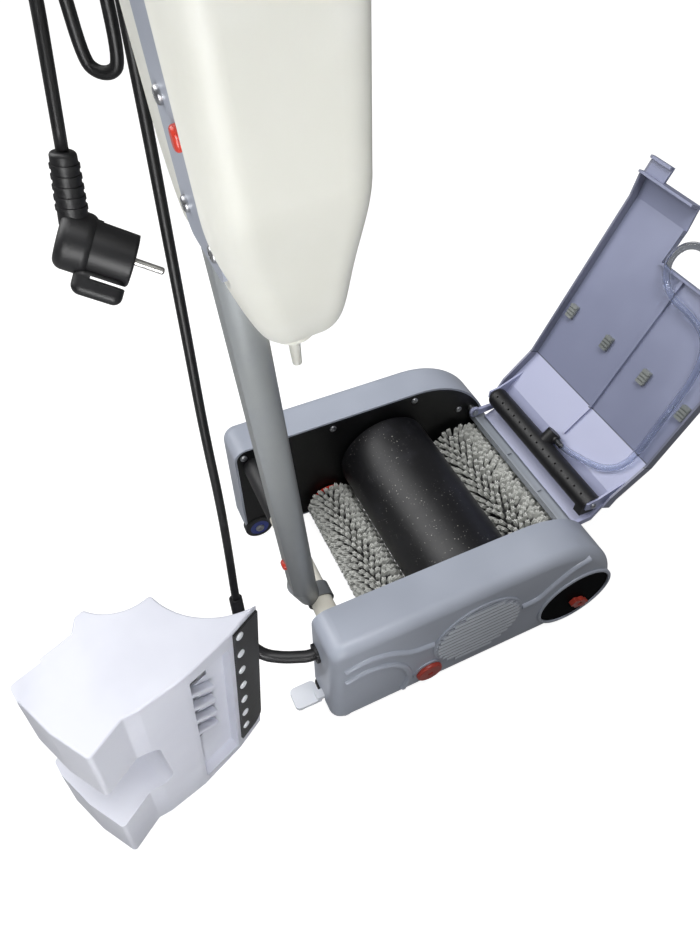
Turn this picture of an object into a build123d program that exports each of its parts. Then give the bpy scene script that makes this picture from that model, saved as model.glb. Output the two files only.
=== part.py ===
from build123d import *
import math
import os

os.makedirs("parts", exist_ok=True)

# Frame: origin on the floor between the brushes, midway between the side plates; X forward to the lid's hinge,
# Y to the machine's left, Z up, in mm.

# Chassis
INNER_HALF = 109.0        # half the width between the black side plates
COVER_OUT = 157.0         # outer face of each side cover
COVER_WALL = 2.6
PLATE_T = 3.0
REAR_X, TOP_Z, BOTTOM_Z = -207.0, 166.0, 10.0
NOSE_X, NOSE_Z, NOSE_R = 25.0, 54.0, 112.0
EDGE_R = 12.0             # soft outer edge of the covers

# Brushes and drum
REAR_BRUSH_X, REAR_BRUSH_R, REAR_SLEEVE_R, REAR_ROWS = -95.0, 32.0, 14.0, 11
FRONT_BRUSH_X, FRONT_BRUSH_R, FRONT_SLEEVE_R, FRONT_ROWS = 86.0, 46.0, 27.0, 13
BRUSH_HALF, SHAFT_R = 103.0, 5.0
TUFT_STATIONS = 20
TUFT_AXIAL, TUFT_ROUND = 5.0, 4.0
DRUM_X, DRUM_Z, DRUM_R, DRUM_HALF = -19.0, 85.0, 58.0, 105.5
JOURNAL_R = 8.0
RUN = 0.3                 # running clearance

# Gear train in the right cover
MODULE = 2.0
GEAR_Y0, GEAR_Y1 = -125.0, -117.0
N_BRUSH, N_FRONT_IDLER, N_DRUM, N_SMALL = 16, 38, 40, 12
POST_R = 4.0

# Wheels, cross tube, pedal
WHEEL_X, WHEEL_R, WHEEL_Y0, WHEEL_Y1 = -190.0, 18.0, 108.0, 120.0
TUBE_X, TUBE_Z, TUBE_R = -186.0, 137.0, 11.0

# Lid
HINGE_X, HINGE_Z = 109.0, 108.0
LID_HALF, LID_T, FLANGE = 106.0, 2.5, 10.0
LID_DIR = (0.394, 0.919)
LID_LONG = 213.0
NOTCH_S, NOTCH_Y = 177.0, 28.0
HOSE_D, HOSE_BORE = 8.0, 6.0

# Handle
POLE_Y, POLE_R, POLE_LEAN = -76.0, 14.0, 4.2
POLE_BASE = (-201.0, POLE_Y, 150.0)
POLE_FOOT, POLE_TOP = 20.0, 905.0
POLE_FLAT = -11.0         # flat along the back of the pole

# Mains cord
CORD_D = 7.5
COIL_R, COIL_TURNS, COIL_PITCH, COIL_STEPS = 85.0, 7, 8.3, 12
COIL_F, COIL_U = 5.0, 800.0   # middle of the coil, from the pole's axis and up the pole


def save(name, shape):
    export_step(shape, "parts/" + name + ".step")


def cyl_y(x, z, r, y0, y1):
    return Pos(x, (y0 + y1) / 2, z) * Rot(90, 0, 0) * Cylinder(r, abs(y1 - y0))


def ring_y(x, z, r, bore, y0, y1):
    return cyl_y(x, z, r, y0, y1) - cyl_y(x, z, bore, min(y0, y1) - 1, max(y0, y1) + 1)


def box(x0, x1, y0, y1, z0, z1):
    return Pos((x0 + x1) / 2, (y0 + y1) / 2, (z0 + z1) / 2) * Box(x1 - x0, y1 - y0, z1 - z0)


def prism_y(face, y0, y1):
    """Extrudes a sketch drawn in X and Z from y0 to y1."""
    plane = Plane(origin=(0, y1, 0), x_dir=(1, 0, 0), z_dir=(0, -1, 0))
    return extrude(plane * face, amount=y1 - y0)


def poly(points):
    return make_face(Polyline(*points, close=True))


def dome_screw(r, h):
    """A dome head standing on its underside, with a cross recess."""
    head = fillet((Pos(0, 0, h / 2) * Cylinder(r, h)).edges().sort_by(Axis.Z)[-1], h * 0.7)
    slot = Pos(0, 0, h) * (Box(r, 0.28 * r, h) + Box(0.28 * r, r, h))
    return head - slot


def turned(shape, axis):
    """Turns a shape that stands on +Z so that it stands on the named axis."""
    return {"+y": Rot(-90, 0, 0), "-y": Rot(90, 0, 0), "-x": Rot(0, -90, 0), "+x": Rot(0, 90, 0)}[axis] * shape


def unit(v):
    n = math.sqrt(sum(c * c for c in v))
    return tuple(c / n for c in v)


def turn_at(a, b, c):
    """The angle in degrees that a path turns by at b."""
    return (Vector(*b) - Vector(*a)).get_angle(Vector(*c) - Vector(*b))


def tube(points, dia, name):
    """Sweeps a round tube along straight runs joined by tangent arcs."""
    bends = [points[0]]
    for b, c in zip(points[1:], points[2:]):
        if turn_at(bends[-1], b, c) > 3:
            bends.append(b)
    bends.append(points[-1])
    radii = []
    for a, b, c in zip(bends, bends[1:], bends[2:]):
        run = min(math.dist(a, b), math.dist(b, c))
        radii.append(0.45 * run / math.tan(math.radians(turn_at(a, b, c)) / 2))
    path = FilletPolyline(*bends, radius=radii)
    print(name, "length %.0f mm, bend radii %.1f to %.0f mm" % (path.length, min(radii), max(radii)))
    return sweep(Plane(path @ 0, z_dir=path % 0) * Circle(dia / 2), path=path), path


# Side covers and plates
def cover_face(inset=0.0):
    nose = Pos(NOSE_X, NOSE_Z) * Circle(NOSE_R)
    front = NOSE_X + NOSE_R
    body = Pos((REAR_X + NOSE_X) / 2, (TOP_Z + BOTTOM_Z) / 2) * Rectangle(NOSE_X - REAR_X, TOP_Z - BOTTOM_Z)
    foot = Pos((NOSE_X + front) / 2, (NOSE_Z + BOTTOM_Z) / 2) * Rectangle(front - NOSE_X, NOSE_Z - BOTTOM_Z)
    nose &= Pos((NOSE_X + front) / 2, (TOP_Z + NOSE_Z) / 2) * Rectangle(front - NOSE_X, TOP_Z - NOSE_Z)
    face = body + foot + nose
    corners = face.vertices().filter_by(lambda v: v.X < REAR_X + 1)
    face = fillet(corners, 16)
    face = fillet(face.vertices().filter_by(lambda v: v.X > front - 1 and v.Y < BOTTOM_Z + 1), 20)
    return offset(face, amount=-inset, kind=Kind.INTERSECTION) if inset else face


def ridge(points):
    """A low round ridge on the outer face of the right cover."""
    way = [(x, -COVER_OUT + 0.6, z) for x, z in points]
    return tube(way, 8.0, "ridge")[0]


VENT = (-43.0, 90.0, 50.0)
CAP = (88.0, 60.0, 44.0)
REAR_KNOB = (-97.0, 44.0)
FRONT_KNOB = (96.0, 47.0)
GLAND = (-119.0, 108.0)
PEDAL_Y0, PEDAL_Y1 = -134.0, -125.0
PEDAL_X, PEDAL_Z = -170.0, 34.0


def cross_point(a, ra, b, rb, side):
    """The point at ra from a and rb from b, on the chosen side of the line between them."""
    dx, dz = b[0] - a[0], b[1] - a[1]
    d = math.hypot(dx, dz)
    t = (d * d + ra * ra - rb * rb) / (2 * d)
    h = side * math.sqrt(ra * ra - t * t)
    return a[0] + (t * dx - h * dz) / d, a[1] + (t * dz + h * dx) / d


def pitch(n):
    return MODULE * n / 2


FRONT_AXIS = (FRONT_BRUSH_X, FRONT_BRUSH_R)
REAR_AXIS = (REAR_BRUSH_X, REAR_BRUSH_R)
DRUM_AXIS = (DRUM_X, DRUM_Z)
IDLER_F = cross_point(DRUM_AXIS, pitch(N_DRUM + N_FRONT_IDLER),
                      FRONT_AXIS, pitch(N_FRONT_IDLER + N_BRUSH), 1)
IDLER_B = (REAR_AXIS[0] + 8.0, REAR_AXIS[1] + math.sqrt(pitch(N_SMALL + N_BRUSH) ** 2 - 64.0))
IDLER_A = cross_point(DRUM_AXIS, pitch(N_DRUM + N_SMALL), IDLER_B, pitch(2 * N_SMALL), -1)
MOTOR_AXIS = (DRUM_X - pitch(N_DRUM + N_SMALL) * math.cos(math.radians(55)),
              DRUM_Z + pitch(N_DRUM + N_SMALL) * math.sin(math.radians(55)))
MOTOR_R = 33.0


def build_cover():
    outer = prism_y(cover_face(), -COVER_OUT, -INNER_HALF)
    rim = outer.faces().sort_by(Axis.Y)[0].edges()
    outer = fillet(rim, EDGE_R)
    inner = prism_y(cover_face(COVER_WALL), -COVER_OUT + COVER_WALL, -INNER_HALF + 1)
    inner = fillet(inner.faces().sort_by(Axis.Y)[0].edges(), EDGE_R - COVER_WALL)
    well = cyl_y(WHEEL_X, WHEEL_R, WHEEL_R + 3, -WHEEL_Y1 - 3, -INNER_HALF + 1)
    well += box(REAR_X - 9, WHEEL_X, -WHEEL_Y1 - 3, -INNER_HALF + 1, -1, WHEEL_R + 12)
    return outer - inner - well


cover = build_cover()
wheel_boss = cyl_y(WHEEL_X, WHEEL_R, 6, -COVER_OUT + COVER_WALL, -WHEEL_Y1 - 0.6)
wheel_boss += box(WHEEL_X - 3, WHEEL_X + 3, -COVER_OUT + COVER_WALL, -WHEEL_Y1 - 4, BOTTOM_Z + 1, WHEEL_R)
left_cover = cover.mirror(Plane.XZ)
left_boss = wheel_boss.mirror(Plane.XZ)
save("left_housing", left_cover + left_boss)

right = cover + wheel_boss
right += fillet(cyl_y(VENT[0], VENT[1], VENT[2] + 3, -COVER_OUT - 1.6, -COVER_OUT + 1).edges(), 0.7)
right -= cyl_y(VENT[0], VENT[1], VENT[2], -COVER_OUT - 3, -COVER_OUT + 1.0)
right -= Pos(VENT[0], -COVER_OUT, VENT[1]) * Rot(90, 0, 0) * Cylinder(VENT[2] - 8, 12)
right += fillet(cyl_y(CAP[0], CAP[1], CAP[2] + 4, -COVER_OUT - 2, -COVER_OUT + 13).edges(), 1.5)
right -= cyl_y(CAP[0], CAP[1], CAP[2] + 0.3, -COVER_OUT - 3, -COVER_OUT + 2.0)
right -= cyl_y(CAP[0], CAP[1], CAP[2] - 4, -COVER_OUT - 3, -COVER_OUT + 14)
UPPER_RIDGE = [(-194, 127), (-172, 134), (-146, 126), (-124, 107), (-97, 103)]
LOWER_RIDGE = [(-194, 104), (-170, 110), (-145, 102), (-127, 79), (-119, 50), (-126, 26)]
FRONT_RIDGE = [(9, 98), (30, 98), (46, 118), (66, 136), (84, 140)]
for line in (UPPER_RIDGE, LOWER_RIDGE, FRONT_RIDGE):
    right += ridge(line)
right += cyl_y(REAR_KNOB[0], REAR_KNOB[1], 18, -COVER_OUT - 1.5, -COVER_OUT + 1)
right -= cyl_y(REAR_KNOB[0], REAR_KNOB[1], 4.3, -COVER_OUT - 5, -COVER_OUT + 5)
right -= Pos(REAR_X, GLAND[0], GLAND[1]) * Rot(0, 90, 0) * Cylinder(7, 12)
right -= box(REAR_X - 4, REAR_X + 18, PEDAL_Y0 - 0.6, PEDAL_Y1 + 0.6, 20, 38)
for dx, dz in ((27, 8), (-27, 8), (0, 26)):
    right += cyl_y(MOTOR_AXIS[0] + dx, MOTOR_AXIS[1] + dz, 4, -COVER_OUT + COVER_WALL, -150)
right += cyl_y(PEDAL_X, PEDAL_Z, 3, -COVER_OUT + COVER_WALL, PEDAL_Y1 - 1)
save("right_housing", right)

HINGE_HOLE = (HINGE_X, HINGE_Z)
BORES = [(FRONT_AXIS, 8.0), (REAR_AXIS, 8.0), (DRUM_AXIS, 11.0)]
PLATE_SCREWS = [(-196, 154), (-86, 154), (22, 155), (90, 112)]


def build_plate(right_side):
    plate = prism_y(cover_face(COVER_WALL), -INNER_HALF - PLATE_T, -INNER_HALF)
    plate -= cyl_y(WHEEL_X, WHEEL_R, WHEEL_R + 3, -INNER_HALF - 9, -INNER_HALF + 1)
    plate -= box(REAR_X - 9, WHEEL_X, -INNER_HALF - 9, -INNER_HALF + 1, -1, WHEEL_R + 12)
    for (x, z), r in BORES + [((TUBE_X, TUBE_Z), 7.0), (HINGE_HOLE, 4.0)]:
        plate -= cyl_y(x, z, r, -INNER_HALF - 9, -INNER_HALF + 1)
    for x, z in PLATE_SCREWS:
        plate -= cyl_y(x, z, 2.0, -INNER_HALF - 9, -INNER_HALF + 1)
    if right_side:
        for x, z in (IDLER_F, IDLER_A, IDLER_B):
            plate -= cyl_y(x, z, 2.5, -INNER_HALF - 9, -INNER_HALF + 1)
    return plate


save("right_side_plate", build_plate(True))
save("left_side_plate", build_plate(False).mirror(Plane.XZ))

screws = []
for x, z in PLATE_SCREWS:
    for side in (-1, 1):
        head = Pos(x, side * INNER_HALF, z) * turned(dome_screw(4.2, 2.0), "+y" if side < 0 else "-y")
        shank = cyl_y(x, z, 2.0, side * INNER_HALF, side * (INNER_HALF + 7))
        screws.append(head + shank)
save("plate_screws", Compound(children=screws))

bushes = []
for (x, z), r in BORES:
    bore = (JOURNAL_R if r > 10 else SHAFT_R) + RUN
    for side in (-1, 1):
        sleeve = ring_y(x, z, r, bore, side * INNER_HALF, side * (INNER_HALF + 6))
        collar = ring_y(x, z, r + 3, bore, side * (INNER_HALF + PLATE_T), side * (INNER_HALF + 6))
        bushes.append(sleeve + collar)
save("shaft_bushes", Compound(children=bushes))

# Cross tube with its sockets, front crossbar
tube_bar = ring_y(TUBE_X, TUBE_Z, TUBE_R, TUBE_R - 2, -INNER_HALF, INNER_HALF)
save("cross_tube", tube_bar)
sockets = []
for side in (-1, 1):
    plug = cyl_y(TUBE_X, TUBE_Z, TUBE_R - 2, side * (INNER_HALF - 20), side * INNER_HALF)
    plug += cyl_y(TUBE_X, TUBE_Z, 7.0, side * INNER_HALF, side * (INNER_HALF + PLATE_T))
    plug += cyl_y(TUBE_X, TUBE_Z, 10, side * (INNER_HALF + PLATE_T), side * (INNER_HALF + PLATE_T + 5))
    sockets.append(plug)
collar = ring_y(TUBE_X, TUBE_Z, TUBE_R + 1.5, TUBE_R, INNER_HALF - 80, INNER_HALF)
save("tube_sockets", Compound(children=sockets + [collar]))

front = poly([(110, 99), (110, 90), (128.5, 90), (134, 80), (134, 34), (136.4, 34), (136.4, 80.8),
              (129.8, 92.4), (112.4, 92.4), (112.4, 99)])
crossbar = prism_y(front, -INNER_HALF, INNER_HALF)
for y in (-34, 30):
    crossbar += box(112.4, 121, y - 1.5, y + 1.5, 92.4, 95.5)
save("front_crossbar", crossbar)


# Gears
def gear(n, at, phase, bore, y0=GEAR_Y0, y1=GEAR_Y1):
    """A spur gear with straight-sided teeth; phase is the angle of one tooth from +X towards +Z."""
    r, step, pts = pitch(n), 360 / n, []
    for i in range(n):
        mid = phase + i * step
        for part, rad in ((-0.30, r - 1.25 * MODULE), (-0.13, r + 0.9 * MODULE),
                          (0.13, r + 0.9 * MODULE), (0.30, r - 1.25 * MODULE)):
            a = math.radians(mid + part * step)
            pts.append((at[0] + rad * math.cos(a), at[1] + rad * math.sin(a)))
    return prism_y(poly(pts), y0, y1) - cyl_y(at[0], at[1], bore, y0 - 1, y1 + 1)


def meshed(at1, n1, phase1, at2, n2):
    """The phase that sets a gap of the second gear on the tooth of the first, along their line."""
    line = math.degrees(math.atan2(at2[1] - at1[1], at2[0] - at1[0]))
    off = (line - phase1) / (360 / n1)
    off -= math.floor(off)
    return line + 180 + (off + 0.5) * 360 / n2


PH_DRUM = 0.0
PH_FI = meshed(DRUM_AXIS, N_DRUM, PH_DRUM, IDLER_F, N_FRONT_IDLER)
PH_FB = meshed(IDLER_F, N_FRONT_IDLER, PH_FI, FRONT_AXIS, N_BRUSH)
PH_A = meshed(DRUM_AXIS, N_DRUM, PH_DRUM, IDLER_A, N_SMALL)
PH_B = meshed(IDLER_A, N_SMALL, PH_A, IDLER_B, N_SMALL)
PH_RB = meshed(IDLER_B, N_SMALL, PH_B, REAR_AXIS, N_BRUSH)
PH_M = meshed(DRUM_AXIS, N_DRUM, PH_DRUM, MOTOR_AXIS, N_SMALL)
save("drum_gear", gear(N_DRUM, DRUM_AXIS, PH_DRUM, JOURNAL_R))
save("front_idler", gear(N_FRONT_IDLER, IDLER_F, PH_FI, POST_R + RUN))
save("front_brush_gear", gear(N_BRUSH, FRONT_AXIS, PH_FB, SHAFT_R))
save("rear_idler_a", gear(N_SMALL, IDLER_A, PH_A, POST_R + RUN))
save("rear_idler_b", gear(N_SMALL, IDLER_B, PH_B, POST_R + RUN))
save("rear_brush_gear", gear(N_BRUSH, REAR_AXIS, PH_RB, SHAFT_R))
print("idlers", IDLER_F, IDLER_A, IDLER_B, "motor", MOTOR_AXIS)

pins = []
for x, z in (IDLER_F, IDLER_A, IDLER_B):
    post = cyl_y(x, z, 2.5, -INNER_HALF - PLATE_T, -INNER_HALF)
    post += cyl_y(x, z, 6.5, GEAR_Y1 + RUN, -INNER_HALF - PLATE_T)
    post += cyl_y(x, z, POST_R, GEAR_Y0 - RUN, GEAR_Y1 + RUN) + cyl_y(x, z, 6.5, GEAR_Y0 - 2, GEAR_Y0 - RUN)
    pins.append(post)

motor_case = cyl_y(MOTOR_AXIS[0], MOTOR_AXIS[1], MOTOR_R, -150, -130)
motor_case = fillet(motor_case.edges(), 3) + cyl_y(MOTOR_AXIS[0], MOTOR_AXIS[1], 10, -130, -127)
motor_case -= cyl_y(MOTOR_AXIS[0], MOTOR_AXIS[1], 3 + RUN, -146, -126)
save("motor", motor_case)
rotor = cyl_y(MOTOR_AXIS[0], MOTOR_AXIS[1], 3, -145, GEAR_Y1 + 1)
save("motor_pinion", rotor + gear(N_SMALL, MOTOR_AXIS, PH_M, 2.9))

# Brushes: tufts in staggered rows on a sleeve
BRUSHES = (("front", FRONT_AXIS, FRONT_BRUSH_R, FRONT_SLEEVE_R, FRONT_ROWS),
           ("rear", REAR_AXIS, REAR_BRUSH_R, REAR_SLEEVE_R, REAR_ROWS))
for name, (x0, z0), radius, core, rows in BRUSHES:
    tufts = []
    reach = radius - 0.1 - (core - 1)
    for k in range(TUFT_STATIONS):
        y = -BRUSH_HALF + 5 + k * (2 * BRUSH_HALF - 10) / (TUFT_STATIONS - 1)
        for j in range(rows):
            turn = (j + 0.5 * (k % 2)) * 360 / rows
            tuft = Pos(core - 1 + reach / 2, 0, 0) * Box(reach, TUFT_AXIAL, TUFT_ROUND)
            tufts.append(Pos(x0, y, z0) * Rot(0, -turn, 0) * tuft)
    sleeve = ring_y(x0, z0, core, SHAFT_R, -BRUSH_HALF, BRUSH_HALF)
    save(name + "_brush", sleeve.fuse(*tufts))
    shaft = cyl_y(x0, z0, SHAFT_R, GEAR_Y0 - 3, INNER_HALF + 8)
    shaft += ring_y(x0, z0, 9, SHAFT_R, BRUSH_HALF, BRUSH_HALF + 4)
    shaft += ring_y(x0, z0, 9, SHAFT_R, -BRUSH_HALF - 4, -BRUSH_HALF)
    save(name + "_brush_shaft", shaft)
save("rear_brush_disc", ring_y(REAR_BRUSH_X, REAR_BRUSH_R, 22, 9, BRUSH_HALF + 0.5, BRUSH_HALF + 3.5))
print("bristle tufts", (FRONT_ROWS + REAR_ROWS) * TUFT_STATIONS)

# Drum
shell = ring_y(DRUM_X, DRUM_Z, DRUM_R, DRUM_R - 3, -DRUM_HALF, DRUM_HALF)
save("drum_shell", fillet(shell.edges().filter_by(GeomType.CIRCLE), 1.0))
ends = cyl_y(DRUM_X, DRUM_Z, JOURNAL_R, DRUM_HALF - 5, INNER_HALF + 8)
ends += cyl_y(DRUM_X, DRUM_Z, DRUM_R - 3, DRUM_HALF - 5, DRUM_HALF - 1)
other = cyl_y(DRUM_X, DRUM_Z, JOURNAL_R, GEAR_Y0 - 3, -DRUM_HALF + 5)
other += cyl_y(DRUM_X, DRUM_Z, DRUM_R - 3, -DRUM_HALF + 1, -DRUM_HALF + 5)
save("drum_ends", Compound(children=[ends, other]))

# Wheels
for name, side in (("right", -1), ("left", 1)):
    tyre = ring_y(WHEEL_X, WHEEL_R, WHEEL_R, 12, side * WHEEL_Y0, side * WHEEL_Y1)
    rims = tyre.edges().filter_by(GeomType.CIRCLE).filter_by(lambda e: e.radius > 15)
    save(name + "_tyre", fillet(rims, 2.0))
    save(name + "_hub", ring_y(WHEEL_X, WHEEL_R, 12, 3.5 + RUN, side * WHEEL_Y0, side * WHEEL_Y1))
for side in (-1, 1):
    pin = cyl_y(WHEEL_X, WHEEL_R, 3.5, side * (WHEEL_Y0 - 0.4), side * (WHEEL_Y1 + 0.6))
    head = turned(dome_screw(5.5, 2.4), "+y" if side < 0 else "-y")
    pins.append(pin + Pos(WHEEL_X, side * (WHEEL_Y0 - 0.4), WHEEL_R) * head)

# Vent grille, access cap, knobs
grille = cyl_y(VENT[0], VENT[1], VENT[2] - RUN / 3, -COVER_OUT - 1.2, -COVER_OUT + 1.0)
for i in range(12):
    z = VENT[1] - 42.9 + i * 7.8
    half = math.sqrt((VENT[2] - 1.5) ** 2 - (z - VENT[1]) ** 2)
    grille += box(VENT[0] - half, VENT[0] + half, -COVER_OUT - 3.2, -COVER_OUT - 1.2, z - 3.2, z + 3.2)
    if 1 < i < 10:
        half -= 12
        grille -= box(VENT[0] - half, VENT[0] + half, -COVER_OUT - 3, -COVER_OUT + 2, z + 3.3, z + 4.5)
save("vent_grille", grille)

cap = cyl_y(CAP[0], CAP[1], CAP[2], -COVER_OUT - 0.5, -COVER_OUT + 2.0)
cap = fillet(cap.faces().sort_by(Axis.Y)[0].edges(), 1.0)
cap -= cyl_y(FRONT_KNOB[0], FRONT_KNOB[1], 4.3, -COVER_OUT - 3, -COVER_OUT + 3)
save("brush_access_cap", cap)


def knob_stem(x, z, y_face):
    return cyl_y(x, z, 4.0, y_face, y_face + 6) + cyl_y(x, z, 7.0, y_face + 6, y_face + 8)


wing = Pos(FRONT_KNOB[0], -COVER_OUT - 3.4, FRONT_KNOB[1]) * Rot(90, 0, 0) * Cylinder(7.5, 5.2)
wing += Pos(FRONT_KNOB[0], -COVER_OUT - 3.4, FRONT_KNOB[1]) * Rot(0, 35, 0) * Box(26, 5.2, 10)
wing = fillet(wing.edges().filter_by(Axis.Y), 2.0)
wing -= cyl_y(FRONT_KNOB[0], FRONT_KNOB[1], 3.2, -COVER_OUT - 8, -COVER_OUT - 4.5)
save("front_knob", wing + knob_stem(FRONT_KNOB[0], FRONT_KNOB[1], -COVER_OUT - 2))
button = cyl_y(REAR_KNOB[0], REAR_KNOB[1], 15, -COVER_OUT - 5.8, -COVER_OUT - 1.8)
button = fillet(button.faces().sort_by(Axis.Y)[0].edges(), 2.4)
button -= cyl_y(REAR_KNOB[0], REAR_KNOB[1], 3.2, -COVER_OUT - 8, -COVER_OUT - 4.8)
save("rear_knob", button + knob_stem(REAR_KNOB[0], REAR_KNOB[1], -COVER_OUT - 2))

# Pedal
tongue = fillet(box(-238, REAR_X - 3, -134, -110, 24, 29).edges().filter_by(Axis.Z), 5)
arm = box(REAR_X - 6, PEDAL_X, PEDAL_Y0, PEDAL_Y1, 29, 35) + cyl_y(PEDAL_X, PEDAL_Z, 6.5, PEDAL_Y0, PEDAL_Y1)
arm += box(REAR_X - 8, REAR_X - 3, PEDAL_Y0, PEDAL_Y1, 24, 35)
save("pedal", tongue + arm - cyl_y(PEDAL_X, PEDAL_Z, 3 + RUN, PEDAL_Y0 - 1, PEDAL_Y1 + 1))

# Lid: a bent panel with flanges, open at rest
LIP_LINE = [(124, 98), (139, 106), (149, 121), (152, 127)]
CREASE = (192.2, 175.4)
LID_INNER = [LIP_LINE[-1], (158, 139), CREASE,
             (189 + LID_LONG * LID_DIR[0], 168 + LID_LONG * LID_DIR[1]), (277, 389)]
LIP_HALF = 96.0


def lid_at(s, y, n):
    """A point on the main panel: s up from the lower crease, n off its inner face."""
    return (189 + s * LID_DIR[0] - n * LID_DIR[1], y, 168 + s * LID_DIR[1] + n * LID_DIR[0])


def offset_line(points, d):
    """The line moved sideways by d, to the inside of the lid."""
    out = []
    for i, p in enumerate(points):
        a, b = points[max(i - 1, 0)], points[min(i + 1, len(points) - 1)]
        n1 = unit((-(p[1] - a[1]), p[0] - a[0])) if i else None
        n2 = unit((-(b[1] - p[1]), b[0] - p[0])) if i < len(points) - 1 else None
        n1, n2 = n1 or n2, n2 or n1
        k = d / (1 + n1[0] * n2[0] + n1[1] * n2[1])
        out.append((p[0] + k * (n1[0] + n2[0]), p[1] + k * (n1[1] + n2[1])))
    return out


outer_line = offset_line(LID_INNER, -LID_T)
panel_face = poly(LID_INNER + outer_line[::-1])
side_face = poly(offset_line(LID_INNER, FLANGE) + outer_line[::-1])
lid = prism_y(panel_face, -LID_HALF, LID_HALF)
lid += prism_y(poly(LIP_LINE + offset_line(LIP_LINE, -LID_T)[::-1]), -LIP_HALF, LIP_HALF)
for y in (-LID_HALF, LID_HALF - LID_T):
    lid += prism_y(side_face, y, y + LID_T)
frame_lid = Plane(origin=lid_at(0, 0, 0), x_dir=(LID_DIR[0], 0, LID_DIR[1]),
                  z_dir=(-LID_DIR[1], 0, LID_DIR[0]))


def on_lid(s0, s1, y0, y1, n0, n1):
    """A block in lid coordinates."""
    return frame_lid * (Pos((s0 + s1) / 2, (y0 + y1) / 2, (n0 + n1) / 2) * Box(s1 - s0, y1 - y0, n1 - n0))


cut = on_lid(NOTCH_S, 280, -LID_HALF - 2, NOTCH_Y, -40, 60)
lid -= cut
lid += on_lid(NOTCH_S - LID_T, NOTCH_S, -LID_HALF, NOTCH_Y, -LID_T, FLANGE * 0.5)
lid += on_lid(NOTCH_S - LID_T, LID_LONG, NOTCH_Y, NOTCH_Y + LID_T, -LID_T, FLANGE * 0.5)
lid += on_lid(236, 238.5, NOTCH_Y, LID_HALF, 0, 19)
lid += on_lid(236, 255, 76, LID_HALF, 8, 11) + on_lid(252, 255, 76, LID_HALF, 8, 15)
lid += on_lid(8, NOTCH_S - LID_T, -5.6, -2.4, 0, 3.5)
lid += prism_y(poly([(163, 144.3), CREASE, (189.7, 177.8), (160.5, 146.7)]), -5.6, -2.4)
for y, y_web in ((-101, -99.2), (97, 97)):
    arm = poly([(HINGE_X, 102), (140, 104.5), (152.5, 126), (149, 128), (138, 112), (HINGE_X, 112)])
    lid += cyl_y(HINGE_X, HINGE_Z, 7, y, y + 4) + prism_y(arm, y, y + 4)
    web = poly([(126, 128), (149.5, 120.5), (160, 141), (172, 154), (140, 140), (126, 138)])
    lid += prism_y(web, y_web, y_web + 2.2)
lid -= cyl_y(HINGE_X, HINGE_Z, 4 + RUN, -LID_HALF - 1, LID_HALF + 1)
save("lid_shell", lid)

for side in (-1, 1):
    pins.append(cyl_y(HINGE_X, HINGE_Z, 4, side * 96, side * (INNER_HALF + PLATE_T)))
save("axle_pins", Compound(children=pins))

BAR_X, BAR_Z, BAR_R, BAR_HALF = 135.0, 130.0, 12.5, 97.0
bar = cyl_y(BAR_X, BAR_Z, BAR_R, -BAR_HALF, BAR_HALF)
bar = fillet(bar.edges().sort_by(Axis.Y)[-1], 6)
bar += box(BAR_X - BAR_R, BAR_X + 4, -BAR_HALF, -BAR_HALF + 11, BAR_Z - BAR_R, BAR_Z)
for i in range(15):
    bar -= Pos(BAR_X, -84 + 12 * i, BAR_Z) * Rot(0, -36, 0) * Pos(0, 0, BAR_R) * Cylinder(1.3, 5)
save("spray_bar", bar)

stub_dir = unit((11, 0, 12))
stub = Plane(origin=(BAR_X, 0, BAR_Z), z_dir=stub_dir) * (Pos(0, 0, 15) * Cylinder(9, 18))
elbow = tuple(a + 19 * b for a, b in zip((BAR_X, 0, BAR_Z), stub_dir))
stub += cyl_y(elbow[0], elbow[2], 3.0, -20, 0) + ring_y(elbow[0], elbow[2], 5.2, 3.0, -10, 0)
save("spray_fitting", stub - bar)

clips = []
for y in (91, 27.5, -35, -95):
    clip = fillet(on_lid(68, 84, y - 5.5, y + 5.5, 0, 5.5).edges().filter_by(Axis.Y, reverse=True), 1.5)
    for k in (71, 75, 79):
        clip -= on_lid(k, k + 1.6, y - 9, y + 9, 3.6, 9)
    clips.append(clip)
save("lid_clips", Compound(children=clips))
lid_screws = [Pos(BAR_X, -99.2, BAR_Z + 2) * turned(dome_screw(3.6, 2.0), "-y"),
              Pos(BAR_X, 99.2, BAR_Z + 2) * turned(dome_screw(3.6, 2.0), "+y")]
save("lid_screws", Compound(children=lid_screws))

hose_way = [(elbow[0], -10.4, elbow[2]), (elbow[0], -24, elbow[2]), (154, -44, 146), (160, -65, 150.5),
            (168, -80, 158), (178.5, -86, 169),
            lid_at(14, -86, 5.5), lid_at(62, -83, 4.8), lid_at(112, -81, 4.8), lid_at(146, -67, 4.8),
            lid_at(155, -38, 5.5), lid_at(157, -8, 9), lid_at(170, 12, 10.5), lid_at(190, 20, 11),
            lid_at(208, 14, 2), lid_at(208, -4, -16), lid_at(188, -20, -20), lid_at(150, -32, -14),
            lid_at(100, -40, -9.5), lid_at(30, -46, -9.5)]
hose = tube(hose_way, HOSE_D, "hose")[0] - tube(hose_way, HOSE_BORE, "hose bore")[0]
save("hose", hose)

# Handle: drawn upright on its own axis, then leaned back
HANDLE = Pos(*POLE_BASE) * Rot(0, -POLE_LEAN, 0)
FLAT_CUT = Pos(-30 + POLE_FLAT, 0, 500) * Box(60, 60, 1100)
BUTTON_U = 64.0
POLE_LONG = POLE_TOP - POLE_FOOT
pole = Cylinder(POLE_R, POLE_LONG) - Cylinder(9.5, POLE_LONG + 2)
pole = Pos(0, 0, POLE_FOOT + POLE_LONG / 2) * pole - FLAT_CUT
pole -= Pos(-12, 0, BUTTON_U) * Rot(0, 90, 0) * Cylinder(5.0 + RUN, 12)
save("pole", HANDLE * pole)

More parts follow.
